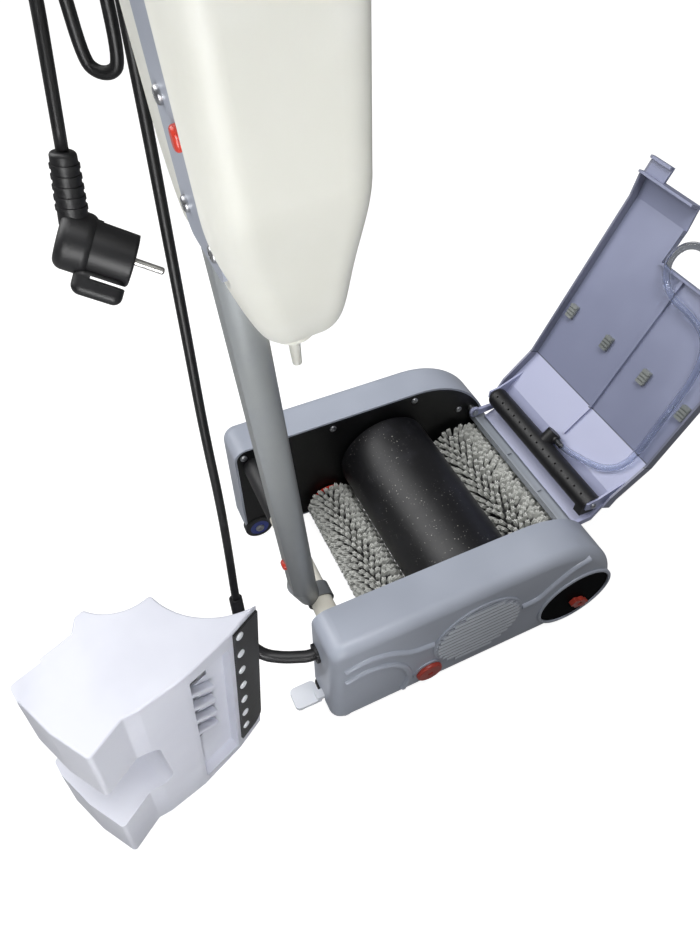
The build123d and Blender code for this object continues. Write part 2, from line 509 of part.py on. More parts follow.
ankle = loft([Pos(5, 0, -8) * Circle(10.5), Pos(0, 0, POLE_FOOT) * Circle(POLE_R)])
foot = HANDLE * (ankle + Pos(0, 0, POLE_FOOT + 9) * Cylinder(9.5, 22))
foot += cyl_y(TUBE_X, TUBE_Z, 13.5, POLE_Y - 8, POLE_Y + 8)
save("pole_foot", foot - cyl_y(TUBE_X, TUBE_Z, TUBE_R + RUN, POLE_Y - 40, POLE_Y + 40))
snap = Pos(-9.5, 0, BUTTON_U) * Rot(0, 90, 0) * Cylinder(5.0, 9)
snap = fillet(snap.edges().sort_by(Axis.X)[0], 2.8)
save("pole_button", HANDLE * snap)

PLATE_U0, PLATE_U1, PLATE_Y0, PLATE_Y1 = 398.0, 650.0, -46.0, 12.0
strip = Pos(POLE_FLAT - 1.25, (PLATE_Y0 + PLATE_Y1) / 2, (PLATE_U0 + PLATE_U1) / 2)
strip *= Box(2.5, PLATE_Y1 - PLATE_Y0, PLATE_U1 - PLATE_U0)
strip = fillet(strip.edges().filter_by(Axis.X), 8)
TANK_BUTTON = (-22.5, 462.0)
oval = Rot(0, -90, 0) * SlotOverall(12, 8.4)
button_way = extrude(Rot(0, -90, 0) * SlotOverall(12.6, 9.0), 9, both=True)
strip -= Pos(POLE_FLAT, TANK_BUTTON[0], TANK_BUTTON[1]) * button_way
strip -= Pos(POLE_FLAT, -32.6, 431) * extrude(Rot(0, -90, 0) * SlotOverall(12, 7), 9, both=True)
save("bracket_plate", HANDLE * strip)
heads = [HANDLE * Pos(POLE_FLAT - 2.5, y, u) * turned(dome_screw(4.4, 2.6), "-x")
         for y, u in ((-3, 473), (0.6, 419), (-39.5, 414))]
save("bracket_screws", Compound(children=heads))
release = Pos(POLE_FLAT - 3.0, TANK_BUTTON[0], TANK_BUTTON[1]) * extrude(oval, 2.8, both=True)
release = fillet(release.faces().sort_by(Axis.X)[0].edges(), 2.0)
save("tank_button", HANDLE * release)

# Solution tank: a tapered bottle that straddles the pole
TANK_LOW, TANK_TOP, TANK_WALL = 337.0, 620.0, 2.4
TANK_SEAT = -10.7         # its back, against the bracket
LOBE_Y = -47.0            # beside the bracket the bottle reaches further back


def tank_body(inset):
    rows = [(TANK_LOW + inset, 9, 49, 30, 13), (352, 2, 53, 43, 16), (375, -6, 56, 52, 19),
            (405, -14, 61, 59, 20), (440, -18, 66, 64, 20), (TANK_TOP - inset, -18, 70, 66, 20)]
    faces = [Pos((a + b) / 2, 0, u) * RectangleRounded(b - a - 2 * inset, 2 * (h - inset), r - inset / 2)
             for u, a, b, h, r in rows]
    low = loft(faces[:5])
    top = loft(faces[4:], ruled=True)
    top = fillet(top.faces().sort_by(Axis.Z)[-1].edges(), 14 - inset)
    return low + top


def seat(grow):
    return Pos(TANK_SEAT + grow - 30, LOBE_Y - grow + 75, 480) * Box(60, 150, 500)


def groove(grow):
    way = Cylinder(POLE_R + 1 + grow, 500) + Pos(-20, 0, 0) * Box(40, 2 * (POLE_R + 1 + grow), 500)
    return Pos(0, 0, 480) * way


OUTLET_F, FILLER_F = 30.0, 37.0
neck = Pos(FILLER_F, 0, TANK_TOP + 4) * Cylinder(19, 16)
button_room = Pos(TANK_SEAT, TANK_BUTTON[0], TANK_BUTTON[1] - 20)
hollow = tank_body(TANK_WALL) - groove(TANK_WALL) - seat(TANK_WALL) - button_room * Box(14, 19, 69)
bottle = tank_body(0) - groove(0) - seat(0) + neck - hollow - button_room * Box(10, 14, 64)
bottle -= Pos(FILLER_F, 0, TANK_TOP) * Cylinder(16.6, 40)
bottle -= Pos(OUTLET_F, 0, TANK_LOW) * Cylinder(7, 20)
save("solution_tank", HANDLE * bottle)
outlet = fillet((Pos(OUTLET_F, 0, TANK_LOW - 9) * Cylinder(15, 18)).edges(), 2.5)
outlet += Pos(OUTLET_F, 0, TANK_LOW - 31) * Cone(3.2, 4.4, 28)
outlet += Pos(OUTLET_F + 15, 0, TANK_LOW - 8) * Box(5, 8, 15)
save("outlet_spout", HANDLE * (outlet - Pos(OUTLET_F, 0, TANK_LOW - 20) * Cylinder(2.0, 60)))
lid_cap = Pos(FILLER_F, 0, TANK_TOP + 8) * Cylinder(23, 13.4)
lid_cap = fillet(lid_cap.edges().sort_by(Axis.Z)[-1], 2.5)
lid_cap -= Pos(FILLER_F, 0, TANK_TOP + 6) * Cylinder(19 + RUN, 12.4)
for a in range(0, 360, 20):
    lid_cap -= Pos(FILLER_F, 0, TANK_TOP + 8) * Rot(0, 0, a) * Pos(23.4, 0, 0) * Cylinder(1.2, 20)
save("filler_cap", HANDLE * lid_cap)

# Grip and cord hook
GRIP_U = 975.0
ring = FilletPolyline((-60, 0, GRIP_U - 42), (45, 0, GRIP_U - 42), (45, 0, GRIP_U + 42),
                      (-60, 0, GRIP_U + 42), close=True, radius=30)
grip = sweep(Plane(ring @ 0, z_dir=ring % 0) * Circle(11), path=ring)
grip += Pos(0, 0, POLE_TOP + 5) * (Cylinder(18, 60)) - Pos(0, 0, POLE_TOP - 50) * Cylinder(POLE_R, 100)
save("grip", HANDLE * grip)
PEG_R = 14.0
PEG_U = COIL_U + COIL_R * math.cos(math.pi / COIL_STEPS) - CORD_D / 2 - PEG_R - RUN
hook = Pos(0, 0, PEG_U) * (Cylinder(18, 30) - Cylinder(POLE_R, 40))
hook += Pos(COIL_F, 84, PEG_U) * Rot(90, 0, 0) * Cylinder(PEG_R, 144)
hook += Pos(COIL_F, 155, PEG_U + 8) * Rot(90, 0, 0) * Cylinder(PEG_R + 6, 6)
hook -= Pos(0, 0, PEG_U) * Cylinder(POLE_R, 40)
save("cord_hook", HANDLE * hook)


def at_handle(f, y, u):
    """A point in the machine's frame from distances along the leaned handle, y being the machine's own."""
    a = math.radians(POLE_LEAN)
    x0, _, z0 = POLE_BASE
    return (x0 + f * math.cos(a) - u * math.sin(a), y, z0 + u * math.cos(a) + f * math.sin(a))


# Mains cord: riser from the gland, coil on the peg, tail with a hanging loop, plug
COIL_Y = -6.0
START, END = -50.0, 215.0


def coil_point(turn_deg):
    a = math.radians(turn_deg)
    y = COIL_Y + COIL_PITCH * (turn_deg - START) / 360
    return at_handle(COIL_F + COIL_R * math.cos(a), y, COIL_U + COIL_R * math.sin(a))


total = 360 * (COIL_TURNS - 1) + END - START
count = round(total / 360 * COIL_STEPS)
coil_pts = [coil_point(START + total * i / count) for i in range(count + 1)]
coil, coil_path = tube(coil_pts, CORD_D, "coil")
save("cord_coil", coil)
probe = [coil_path.position_at(i / 1500) for i in range(1501)]
lag = round(1500 * 60 / coil_path.length)
least = min((probe[i] - probe[j]).length for i in range(0, 1501, 3) for j in range(i + lag, 1501))
print("coil loops", COIL_TURNS, "least gap to itself %.2f mm" % (least - CORD_D))


def before(b, a, d):
    """The point d beyond a, on the line that comes from b."""
    return tuple(p + d * (p - q) / math.dist(a, b) for p, q in zip(a, b))


riser_way = [(-203, GLAND[0], GLAND[1]), (-216, GLAND[0], GLAND[1]), (-238, -110, 108), (-254, -101, 110),
             (-264, -92, 121), (-267, -83, 142), (-265, -70, 180), (-260, -55, 226), (-256, -43, 290),
             (-254, -29, 360), (-250, -16, 432), (-246, -2, 505), (-242, 12, 575), (-240, 20, 640),
             (-237, 22, 705), (-232, 19, 765), (-226, 10, 820), before(coil_pts[1], coil_pts[0], 30),
             coil_pts[0]]
riser, riser_path = tube(riser_way, CORD_D, "riser")
save("cord_riser", riser)
boot_way = riser_way[:7]
boot = tube(boot_way, 12.0, "boot")[0] - tube(boot_way, CORD_D + 0.6, "boot bore")[0]
gland = Pos(REAR_X - 1.5, GLAND[0], GLAND[1]) * Rot(0, 90, 0) * Cylinder(10, 3)
gland += Pos(REAR_X + 4, GLAND[0], GLAND[1]) * Rot(0, 90, 0) * Cylinder(7, 8)
gland -= Pos(REAR_X, GLAND[0], GLAND[1]) * Rot(0, 90, 0) * Cylinder(CORD_D / 2 + 0.3, 40)
save("cord_gland", gland + boot)

PLUG_TOP = (-290.0, 30.0, 556.0)
peg_x, _, peg_z = at_handle(COIL_F, 0, PEG_U)
over = (PEG_R + CORD_D / 2 + 0.5) / math.cos(math.radians(22.5))
drop = [coil_pts[-1], before(coil_pts[-2], coil_pts[-1], 30), (-304, 50, 824), (-292, 48, 772),
        (-279, 46, 722), (-270, 43, 676), (-265.5, 41, 640)]
across = unit((17, -11, 0))
BEND_R = 10.5
bend = BEND_R / math.cos(math.radians(22.5))
bottom = [tuple(m + bend * math.cos(math.radians(a)) * d for m, d in zip((-255.5, 34, 0), across))[:2]
          + (602 + bend * math.sin(math.radians(a)),) for a in (202.5, 247.5, 292.5, 337.5)]
climb = [(-246, 29, 640), (-245.5, 34, 680), (-245, 43, 735), (-244.5, 53, 790), (-243, 61, 845),
         (-241.5, 64, 905), (-241, 64, 975)]
loop = [(peg_x + over * math.cos(math.radians(a)), 64.5, peg_z + over * math.sin(math.radians(a)))
        for a in (22.5, 67.5, 112.5, 157.5)]
fall = [(-278, 65.5, 975), (-279, 66, 905), (-279, 65, 835), (-278, 62, 770), (-276.5, 55, 700),
        (-277.5, 45, 640), (-284, 36, 597), PLUG_TOP]
tail, tail_path = tube(drop + bottom + climb + loop + fall, CORD_D, "tail")
save("cord_tail", tail)
print("mains cord length %.2f m" % ((riser_path.length + coil_path.length + tail_path.length) / 1000))

# Plug: angled body with a ribbed sleeve, a round insert with an earth strip on top, and two pins side by side
sleeve_axis = tail_path % 1
sleeve_frame = Plane(origin=PLUG_TOP, z_dir=sleeve_axis)
sleeve = fillet((Pos(0, 0, 21) * Cone(7.8, 9.2, 42)).edges().sort_by(Axis.Z)[0], 2.5)
for k in range(5):
    sleeve += Pos(0, 0, 8 + 6 * k) * Cylinder(8.8 + 0.2 * k, 2.4)
mid = tuple(a + 54 * b for a, b in zip(PLUG_TOP, (sleeve_axis.X, sleeve_axis.Y, sleeve_axis.Z)))
pin_dir = unit((0.841, -0.306, -0.447))
facing = Plane(origin=mid, x_dir=(0.540, 0.408, 0.736), z_dir=pin_dir)
INSERT_R, INSERT_Z = 17.5, 35.0
plug = fillet((Pos(0, 0, -1) * Cylinder(19.5, 22)).edges(), 6)
plug += fillet((Pos(0, 0, INSERT_Z - 15) * Cylinder(INSERT_R, 30)).edges().sort_by(Axis.Z)[-1], 2)
plug += Pos(-22, 0, 18) * fillet(Box(18, 24, 32).edges(), 6)
plug -= Pos(-18.5, 0, INSERT_Z - 11) * Box(2.4, 60, 24)
plug -= Pos(19.5, 0, INSERT_Z - 11) * Box(8, 12, 24)
save("plug_body", facing * plug + sleeve_frame * sleeve)
pin = Pos(0, 0, INSERT_Z + 9.5) * Cylinder(2.4, 19)
pin = fillet(pin.edges().sort_by(Axis.Z)[-1], 1.6)
earth = Pos(16.1, 0, INSERT_Z - 11.5) * Box(1.2, 9, 23)
save("plug_pins", Compound(children=[facing * (Pos(0, y, 0) * pin) for y in (-9.5, 9.5)] + [facing * earth]))

# Recovery tank, standing on its end beside the machine
TANK_H, TANK_SKIN = 230.0, 2.2
LEAN = unit((0.084, 0.021, 1.0))
LEAN_LONG = TANK_H / LEAN[2]  # along its leaning edges
SHIFT = (-LEAN[0] * LEAN_LONG, -LEAN[1] * LEAN_LONG, 0)
TIP, PEAK_1, PEAK_2 = (-256.0, -112.0), (-333.0, -65.5), (-387.0, -56.0)
INLET_AT, LIP_AT, END_AT = (-328.6, -149.1), (-284.0, -129.5), (-407.5, -179.5)
BACK_SIDE = [PEAK_2, (-395, -60.5), (-400, -74), (-424, -84), (-452.5, -95), (-449, -110), (-430.5, -147),
             END_AT, (-379, -160), (-366, -159), INLET_AT, LIP_AT, TIP]
edge = ThreePointArc(TIP, (-295, -106.5), PEAK_1) + ThreePointArc(PEAK_1, (-362, -70), PEAK_2)
outline = make_face(edge + Polyline(*BACK_SIDE))
plan = fillet(outline.vertices().filter_by(lambda v: v.X < TIP[0] - 10), 4)
END_FRAME = Plane(origin=END_AT + (0,), x_dir=unit((0.925, 0.38, 0)), z_dir=(0, 0, 1))
GAP_Z0, GAP_Z1 = 73.0, 153.0


def hand_gap(grow):
    gap = Box(180 + 2 * grow, 300, GAP_Z1 - GAP_Z0 + 2 * grow)
    gap = fillet(gap.edges().filter_by(Axis.Y), 12 + grow)
    return END_FRAME * (Pos(-45, 50, (GAP_Z0 + GAP_Z1) / 2) * gap)


def leaning(at, toward):
    """A frame on the floor below a corner of the plan: x along the face to the next corner, z up the lean."""
    along = (toward[0] - at[0], toward[1] - at[1], 0)
    up = sum(a * b for a, b in zip(along, LEAN))
    foot = (at[0] + SHIFT[0], at[1] + SHIFT[1], 0)
    return Plane(origin=foot, x_dir=unit([a - up * b for a, b in zip(along, LEAN)]), z_dir=LEAN)


def inlet_recess(grow):
    return INLET * (Pos(25, 0, LEAN_LONG / 2) * Box(42 + 2 * grow, 22 + 2 * grow, 200 + 2 * grow))


def corner_step(grow):
    return Pos(-446, -93, TANK_H) * Cylinder(20 + grow, 12 + 2 * grow)


INLET, LIP = leaning(INLET_AT, LIP_AT), leaning(LIP_AT, TIP)
basin = extrude(Pos(*SHIFT) * plan, amount=LEAN_LONG, dir=LEAN)
basin = fillet(basin.edges().group_by(Axis.Z)[-1] + basin.edges().group_by(Axis.Z)[0], 2)
basin = basin - hand_gap(0) - inlet_recess(0) - corner_step(0)
room_at = [a + TANK_SKIN * b / LEAN[2] for a, b in zip(SHIFT, LEAN)]
room = extrude(Pos(*room_at) * offset(outline, amount=-TANK_SKIN), amount=LEAN_LONG - 2 * TANK_SKIN / LEAN[2],
               dir=LEAN)
basin -= room - hand_gap(TANK_SKIN) - inlet_recess(TANK_SKIN) - corner_step(TANK_SKIN)
for k in range(5):
    basin -= INLET * (Pos(17, 12, 88 + 25 * k) * Box(22, 8, 10))
for k in range(4):
    fin = fillet(Box(28, 9, 5).edges().filter_by(Axis.X), 2)
    basin += INLET * (Pos(16, 7.5, 101.5 + 25 * k) * Rot(0, 35, 0) * fin)
save("recovery_tank", basin)

blade = Box(30, 2.5, LEAN_LONG - 26)
corner = blade.edges().filter_by(Axis.Y).sort_by(lambda e: e.center().Z - e.center().X)[0]
scraper = LIP * (Pos(17, -1.25, LEAN_LONG / 2 + 9) * fillet(corner, 14))
save("scraper_strip", scraper)
pegs = []
for k in range(7):
    peg = Pos(7.5, -3.3, 47 + 29 * k) * Rot(90, 0, 0) * Cylinder(4, 1.6)
    pegs.append(LIP * fillet(peg.edges().sort_by(Axis.Y)[0], 1.0))
save("strip_pegs", Compound(children=pegs))
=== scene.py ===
import math
import random

import bpy
from mathutils import Matrix, Vector


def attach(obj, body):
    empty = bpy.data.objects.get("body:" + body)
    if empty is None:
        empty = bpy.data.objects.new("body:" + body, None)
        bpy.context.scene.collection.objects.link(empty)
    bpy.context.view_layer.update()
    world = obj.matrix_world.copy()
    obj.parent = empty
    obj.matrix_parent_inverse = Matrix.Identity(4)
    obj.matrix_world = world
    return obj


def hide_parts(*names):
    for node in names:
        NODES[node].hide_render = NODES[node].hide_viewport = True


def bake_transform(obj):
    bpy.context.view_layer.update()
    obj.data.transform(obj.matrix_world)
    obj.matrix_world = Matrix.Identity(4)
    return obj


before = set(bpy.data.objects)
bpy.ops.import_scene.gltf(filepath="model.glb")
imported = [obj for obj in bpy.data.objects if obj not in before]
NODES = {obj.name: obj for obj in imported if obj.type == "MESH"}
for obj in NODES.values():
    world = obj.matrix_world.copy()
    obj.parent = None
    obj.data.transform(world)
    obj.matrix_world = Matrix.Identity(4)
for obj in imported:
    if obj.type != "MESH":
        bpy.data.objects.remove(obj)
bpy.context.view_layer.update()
MM = 0.001


# Driving sizes, repeated from the machine's own design, in millimetres
FRONT_BRUSH = {"x": 86.0, "r": 46.0, "core": 27.0, "rows": 34}
REAR_BRUSH = {"x": -95.0, "r": 32.0, "core": 14.0, "rows": 24}
BRUSH_HALF, TUFT_STATIONS = 103.0, 25
POLE_BASE, POLE_LEAN = (-201.0, -76.0, 150.0), math.radians(4.2)
COIL_R, COIL_TURNS, COIL_PITCH, COIL_STEPS = 85.0, 7, 8.3, 12
COIL_F, COIL_U, COIL_Y = 5.0, 800.0, -6.0
COIL_START, COIL_END = -50.0, 215.0
CORD_D = 7.5
PEG_R, PEG_GAP = 14.0, 0.3
PEG_U = COIL_U + COIL_R * math.cos(math.pi / COIL_STEPS) - CORD_D / 2 - PEG_R - PEG_GAP
LEAD_IN = 30.0
BIGHT_AT, BIGHT_R = (-255.5, 34.0, 602.0), 10.5
CORD_TUBE_SIDES, MAINS_STEPS, HOSE_STEPS = 16, 6, 8
HOSE_D, HOSE_BORE = 8.0, 6.0
PLUG_TOP = (-290.0, 30.0, 556.0)
LID_FOOT, LID_DIR, LID_CREASE = (189.0, 168.0), (0.394, 0.919), 8.0
LID_RIM_Y = 103.3
VENT_Z, SLAT_PITCH = 90.0, 7.8


# Camera and lamps, in metres
EYE = Vector((-0.312, -0.4034, 0.750))
EYE_RIGHT = Vector((0.90434389, -0.42670281, 0.00931933))
EYE_UP = Vector((0.3209416, 0.69426557, 0.64419858))
EYE_BACK = Vector((-0.28135143, -0.57958609, 0.76480151))
FOCAL_PIXELS, FRAME_HEIGHT_PIXELS, SENSOR_MM = 700.0, 933.0, 36.0


def set_camera():
    bpy.ops.object.camera_add()
    camera = bpy.context.object
    camera.name = "photo_camera"
    turn = Matrix((EYE_RIGHT, EYE_UP, EYE_BACK)).transposed().to_4x4()
    camera.matrix_world = Matrix.Translation(EYE) @ turn
    camera.data.sensor_width = SENSOR_MM
    camera.data.lens = FOCAL_PIXELS * SENSOR_MM / FRAME_HEIGHT_PIXELS
    camera.data.clip_start = 0.01
    bpy.context.scene.camera = camera


def add_softbox(name, place, aim, size, power, spread=180.0):
    bpy.ops.object.light_add(type="AREA", location=place)
    lamp = bpy.context.object
    lamp.name = name
    lamp.data.size = size
    lamp.data.energy = power
    lamp.data.spread = math.radians(spread)
    lamp.rotation_euler = (Vector(aim) - Vector(place)).to_track_quat("-Z", "Y").to_euler()


set_camera()
add_softbox("softbox_key", (-0.1, -0.5, 1.8), (-0.12, -0.02, 0.2), 0.5, 12.0)
add_softbox("softbox_over", (-0.9, 0.6, 2.0), (-0.1, 0.0, 0.1), 1.6, 25.0)
add_softbox("softbox_rear_left", (-1.25, 0.9, 1.2), (-0.05, 0.0, 0.15), 1.0, 9.0)
add_softbox("softbox_tank", (-0.55, -0.85, 0.36), (-0.2, -0.1, 0.58), 0.5, 0.82, 45.0)
add_softbox("softbox_front", (-0.5, -1.0, 0.35), (-0.38, -0.13, 0.1), 0.3, 0.28, 32.0)


# Finishes: plain arithmetic on the fields of a node tree
OBJECT_COORDINATES = 3


class Field:
    """A socket of a finish that takes part in plain arithmetic."""

    def __init__(self, finish, socket):
        self.finish, self.socket = finish, socket

    def _work(self, operation, a, b):
        return self.finish.node("ShaderNodeMath", {"operation": operation}, {0: a, 1: b})

    def __add__(self, other):
        return self._work("ADD", self, other)

    def __radd__(self, other):
        return self._work("ADD", other, self)

    def __sub__(self, other):
        return self._work("SUBTRACT", self, other)

    def __rsub__(self, other):
        return self._work("SUBTRACT", other, self)

    def __mul__(self, other):
        return self._work("MULTIPLY", self, other)

    def __rmul__(self, other):
        return self._work("MULTIPLY", other, self)

    def __abs__(self):
        return self._work("ABSOLUTE", self, 0.0)

    def fraction(self):
        return self._work("FRACT", self, 0.0)


class Finish:
    """One material: its node tree, its shader and the fields that feed the shader."""

    def __init__(self, name, fixed):
        self.material = bpy.data.materials.new(name)
        self.material.use_nodes = True
        self.tree = self.material.node_tree
        self.shader = self.tree.nodes["Principled BSDF"]
        for socket, value in fixed.items():
            self.shader.inputs[socket].default_value = value

    def node(self, kind, settings=None, sockets=None, out=0):
        made = self.tree.nodes.new(kind)
        for key, value in (settings or {}).items():
            setattr(made, key, value)
        for key, value in (sockets or {}).items():
            self.feed(made.inputs[key], value)
        return Field(self, made.outputs[out])

    def feed(self, socket, value):
        if isinstance(value, Field):
            self.tree.links.new(value.socket, socket)
        else:
            socket.default_value = value

    def place(self, stretch=(1.0, 1.0, 1.0)):
        """Object coordinates, stretched along the axes."""
        at = self.node("ShaderNodeTexCoord", out=OBJECT_COORDINATES)
        return self.node("ShaderNodeMapping", None, {"Vector": at, "Scale": stretch})

    def axis(self, number):
        """One of the object coordinates, in metres."""
        at = self.node("ShaderNodeTexCoord", out=OBJECT_COORDINATES)
        return self.node("ShaderNodeSeparateXYZ", None, {0: at}, number)

    def noise(self, scale, detail=3.0, roughness=0.5, at=None):
        where = at or self.place()
        return self.node("ShaderNodeTexNoise", None,
                         {"Vector": where, "Scale": scale, "Detail": detail, "Roughness": roughness})

    def between(self, field, low, high):
        """0 below low, 1 above high, smooth between them."""
        return self.node("ShaderNodeMapRange", {"interpolation_type": "SMOOTHSTEP"},
                         {"Value": field, "From Min": low, "From Max": high})

    def mix(self, mask, a, b):
        """Colour a where the mask is 0 and colour b where it is 1."""
        return self.node("ShaderNodeMix", {"data_type": "RGBA"}, {0: mask, 6: a, 7: b}, 2)

    def colour(self, field):
        self.feed(self.shader.inputs["Base Color"], field)

    def roughness(self, field):
        self.feed(self.shader.inputs["Roughness"], field)

    def relief(self, height, depth, strength=1.0):
        bump = self.node("ShaderNodeBump", None, {"Height": height, "Distance": depth, "Strength": strength})
        self.feed(self.shader.inputs["Normal"], bump)


def rgb(r, g, b):
    """A linear colour from the 0 to 255 values that it should look like."""
    def linear(c):
        c /= 255
        return c / 12.92 if c <= 0.04045 else ((c + 0.055) / 1.055) ** 2.4
    return (linear(r), linear(g), linear(b), 1.0)


def moulded(name, light, dark, rough, coat=0.0, grain=2200.0, grain_depth=0.00004, shine=0.5):
    """Injection moulded plastic: slow tone change, rubbed patches and a fine spark-eroded grain."""
    f = Finish(name, {"Coat Weight": coat, "Coat Roughness": 0.12, "Specular IOR Level": shine})
    tone = f.noise(9.0, 2.0)
    rubbed = f.between(f.noise(26.0, 5.0, 0.7), 0.55, 0.75)
    f.colour(f.mix(f.between(tone, 0.3, 0.7), dark, light))
    f.roughness(rough + 0.10 * rubbed + 0.05 * tone)
    f.relief(f.noise(grain, 1.0), grain_depth)
    return f.material


def scuffed_sheet(name, base, worn, rough):
    """Black coated sheet with hairline scuffs that run along it."""
    f = Finish(name, {"Specular IOR Level": 0.45})
    hair = f.noise(60.0, 6.0, 0.7, f.place((1.0, 1.0, 24.0)))
    scuff = f.between(hair, 0.62, 0.75)
    dust = f.between(f.noise(340.0, 2.0), 0.62, 0.74)
    f.colour(f.mix(0.16 * scuff + 0.10 * dust, base, worn))
    f.roughness(rough + 0.14 * scuff)
    f.relief(f.noise(1500.0, 2.0), 0.00003)
    return f.material


def slatted(name, light, dark):
    """The vent's moulding, with painted shade as dark lines between its slats."""
    f = Finish(name, {"Coat Weight": 0.2, "Coat Roughness": 0.15})
    gap = (f.axis(2) - VENT_Z * MM) * (1 / (SLAT_PITCH * MM))
    # painted shade: a dark line in each gap between the slats, in the grey mixed in on the next line
    line = 1.0 - f.between(abs(gap.fraction() - 0.5), 0.36, 0.42)
    f.colour(f.mix(0.75 - 0.75 * line, f.mix(f.noise(9.0, 2.0), dark, light), rgb(84, 88, 98)))
    f.roughness(0.3 + 0.1 * f.noise(26.0, 5.0, 0.7))
    f.relief(f.noise(2200.0, 1.0), 0.00004)
    return f.material


def drum_coat(name):
    """Satin black roller with lint specks, wipe marks and faint rings from turning."""
    f = Finish(name, {"Specular IOR Level": 0.5})
    rings = f.noise(160.0, 3.0, 0.6, f.place((0.15, 1.0, 0.15)))
    lint = f.between(f.noise(520.0, 1.0, 0.5), 0.71, 0.76)
    strewn = f.between(f.noise(14.0, 3.0, 0.6), 0.42, 0.62)
    haze = f.between(f.noise(18.0, 4.0, 0.6), 0.45, 0.75)
    base = f.mix(haze, rgb(15, 15, 18), rgb(33, 33, 39))
    f.colour(f.mix(0.7 * lint * strewn, base, rgb(190, 188, 182)))
    f.roughness(0.38 + 0.08 * rings + 0.12 * haze)
    f.relief(rings + 0.5 * f.noise(900.0, 2.0), 0.00005)
    return f.material


def lid_sheet(name):
    """The lid's moulding: lilac with flow marks; painted light makes it paler below the fold, and painted shade
    darkens a hairline along the fold and the rims.
    """
    f = Finish(name, {"Coat Weight": 0.15, "Coat Roughness": 0.15})
    up = LID_DIR[0] * f.axis(0) + LID_DIR[1] * f.axis(2)
    fold = MM * (LID_CREASE + LID_DIR[0] * LID_FOOT[0] + LID_DIR[1] * LID_FOOT[1])
    # painted shade: a dark hairline along the fold's crease
    line = 1.0 - f.between(abs(up - fold), 0.0003, 0.0009)
    flow = f.between(f.noise(7.0, 3.0, 0.6), 0.35, 0.7)
    tone = f.mix(flow, rgb(135, 140, 166), rgb(146, 151, 177))
    # painted light: the lid is paler below the fold, as where it faces up into the light
    painted_light_below_fold = 1.0 - f.between(up - fold, -0.0010, 0.0)
    tone = f.mix(0.6 * painted_light_below_fold, tone, rgb(192, 196, 228))
    # painted shade: the rims are darkened as if in shadow
    painted_rim_shade = f.between(abs(f.axis(1)), (LID_RIM_Y - 0.4) * MM, LID_RIM_Y * MM)
    tone = f.mix(0.7 * painted_rim_shade, tone, rgb(112, 114, 128))
    # mixes in the painted shade of the fold's hairline
    f.colour(f.mix(0.8 * line, tone, rgb(40, 42, 60)))
    f.roughness(0.30 + 0.12 * f.noise(30.0, 4.0))
    f.relief(f.noise(1800.0, 1.0), 0.00003)
    return f.material


def milky(name, light, shade, depth, rough, weight=0.45):
    """Blow-moulded translucent plastic: soft thickness clouds and a faint orange peel."""
    f = Finish(name, {"Subsurface Weight": weight, "Subsurface Radius": (1.0, 0.98, 0.9),
                      "Subsurface Scale": depth, "IOR": 1.46, "Coat Weight": 0.2, "Coat Roughness": 0.4})
    cloud = f.between(f.noise(11.0, 3.0, 0.5), 0.35, 0.7)
    f.colour(f.mix(cloud, shade, light))
    f.roughness(rough + 0.10 * f.noise(40.0, 3.0))
    f.relief(f.noise(150.0, 2.0), 0.00010)
    return f.material


def clear_tube(name):
    """Clear plastic tubing with a faint draw along it."""
    f = Finish(name, {"Transmission Weight": 1.0, "IOR": 1.22})
    drawn = f.noise(40.0, 2.0)
    f.colour(f.mix(drawn, rgb(246, 248, 252), rgb(232, 236, 244)))
    f.roughness(0.02 + 0.04 * drawn)
    return f.material


def pole_coat(name):
    """Smooth grey coated aluminium, a little worn and handled."""
    f = Finish(name, {"Metallic": 0.25, "Coat Weight": 0.2, "Coat Roughness": 0.25})
    handled = f.between(f.noise(16.0, 4.0, 0.6), 0.4, 0.75)
    fleck = f.between(f.noise(900.0, 2.0, 0.6), 0.60, 0.72)
    grey = f.mix(0.6 * handled + 0.3 * fleck, rgb(158, 162, 163), rgb(142, 147, 153))
    f.colour(f.mix(f.between(f.axis(2), 0.12, 0.45), rgb(116, 119, 122), grey))
    f.roughness(0.36 + 0.10 * handled)
    f.relief(f.noise(1400.0, 2.0), 0.00002)
    return f.material


def bare_steel(name, light, dark):
    """Plain turned metal, dulled in patches."""
    f = Finish(name, {"Metallic": 1.0})
    wear = f.noise(240.0, 4.0, 0.6)
    f.colour(f.mix(f.between(wear, 0.35, 0.7), dark, light))
    f.roughness(0.26 + 0.22 * wear)
    f.relief(f.noise(900.0, 2.0), 0.00002)
    return f.material


def rubber(name, base, dusty, rough):
    """Black rubber with dust in its skin."""
    f = Finish(name, {"Specular IOR Level": 0.35, "Sheen Weight": 0.08})
    dust = f.between(f.noise(70.0, 4.0, 0.7), 0.5, 0.8)
    f.colour(f.mix(0.5 * dust, base, dusty))
    f.roughness(rough + 0.12 * dust)
    f.relief(f.noise(1100.0, 3.0), 0.00006)
    return f.material


def bristle(name, axis, core, reach):
    """Grey nylon tufts, pale at the tips, with painted shade darkening them towards the core."""
    f = Finish(name, {"Sheen Weight": 0.2, "Specular IOR Level": 0.3})
    x, z = f.axis(0) - axis[0] * MM, f.axis(2) - axis[1] * MM
    out = x * x + z * z
    # painted shade: the tufts darken towards the core, where they shade each other
    tip = f.between(out, (0.42 * (core + reach) * MM) ** 2, (0.82 * reach * MM) ** 2)
    clump = f.between(0.6 * f.noise(900.0, 1.0, 0.5) + 0.4 * f.noise(120.0, 3.0), 0.35, 0.65)
    pale = f.mix(clump, rgb(212, 213, 209), rgb(236, 237, 232))
    # the dark grey is the painted shade at the core, the pale mix is the nylon at the tips
    f.colour(f.mix(tip, rgb(58, 58, 57), pale))
    f.roughness(0.55 + 0.2 * clump)
    return f.material


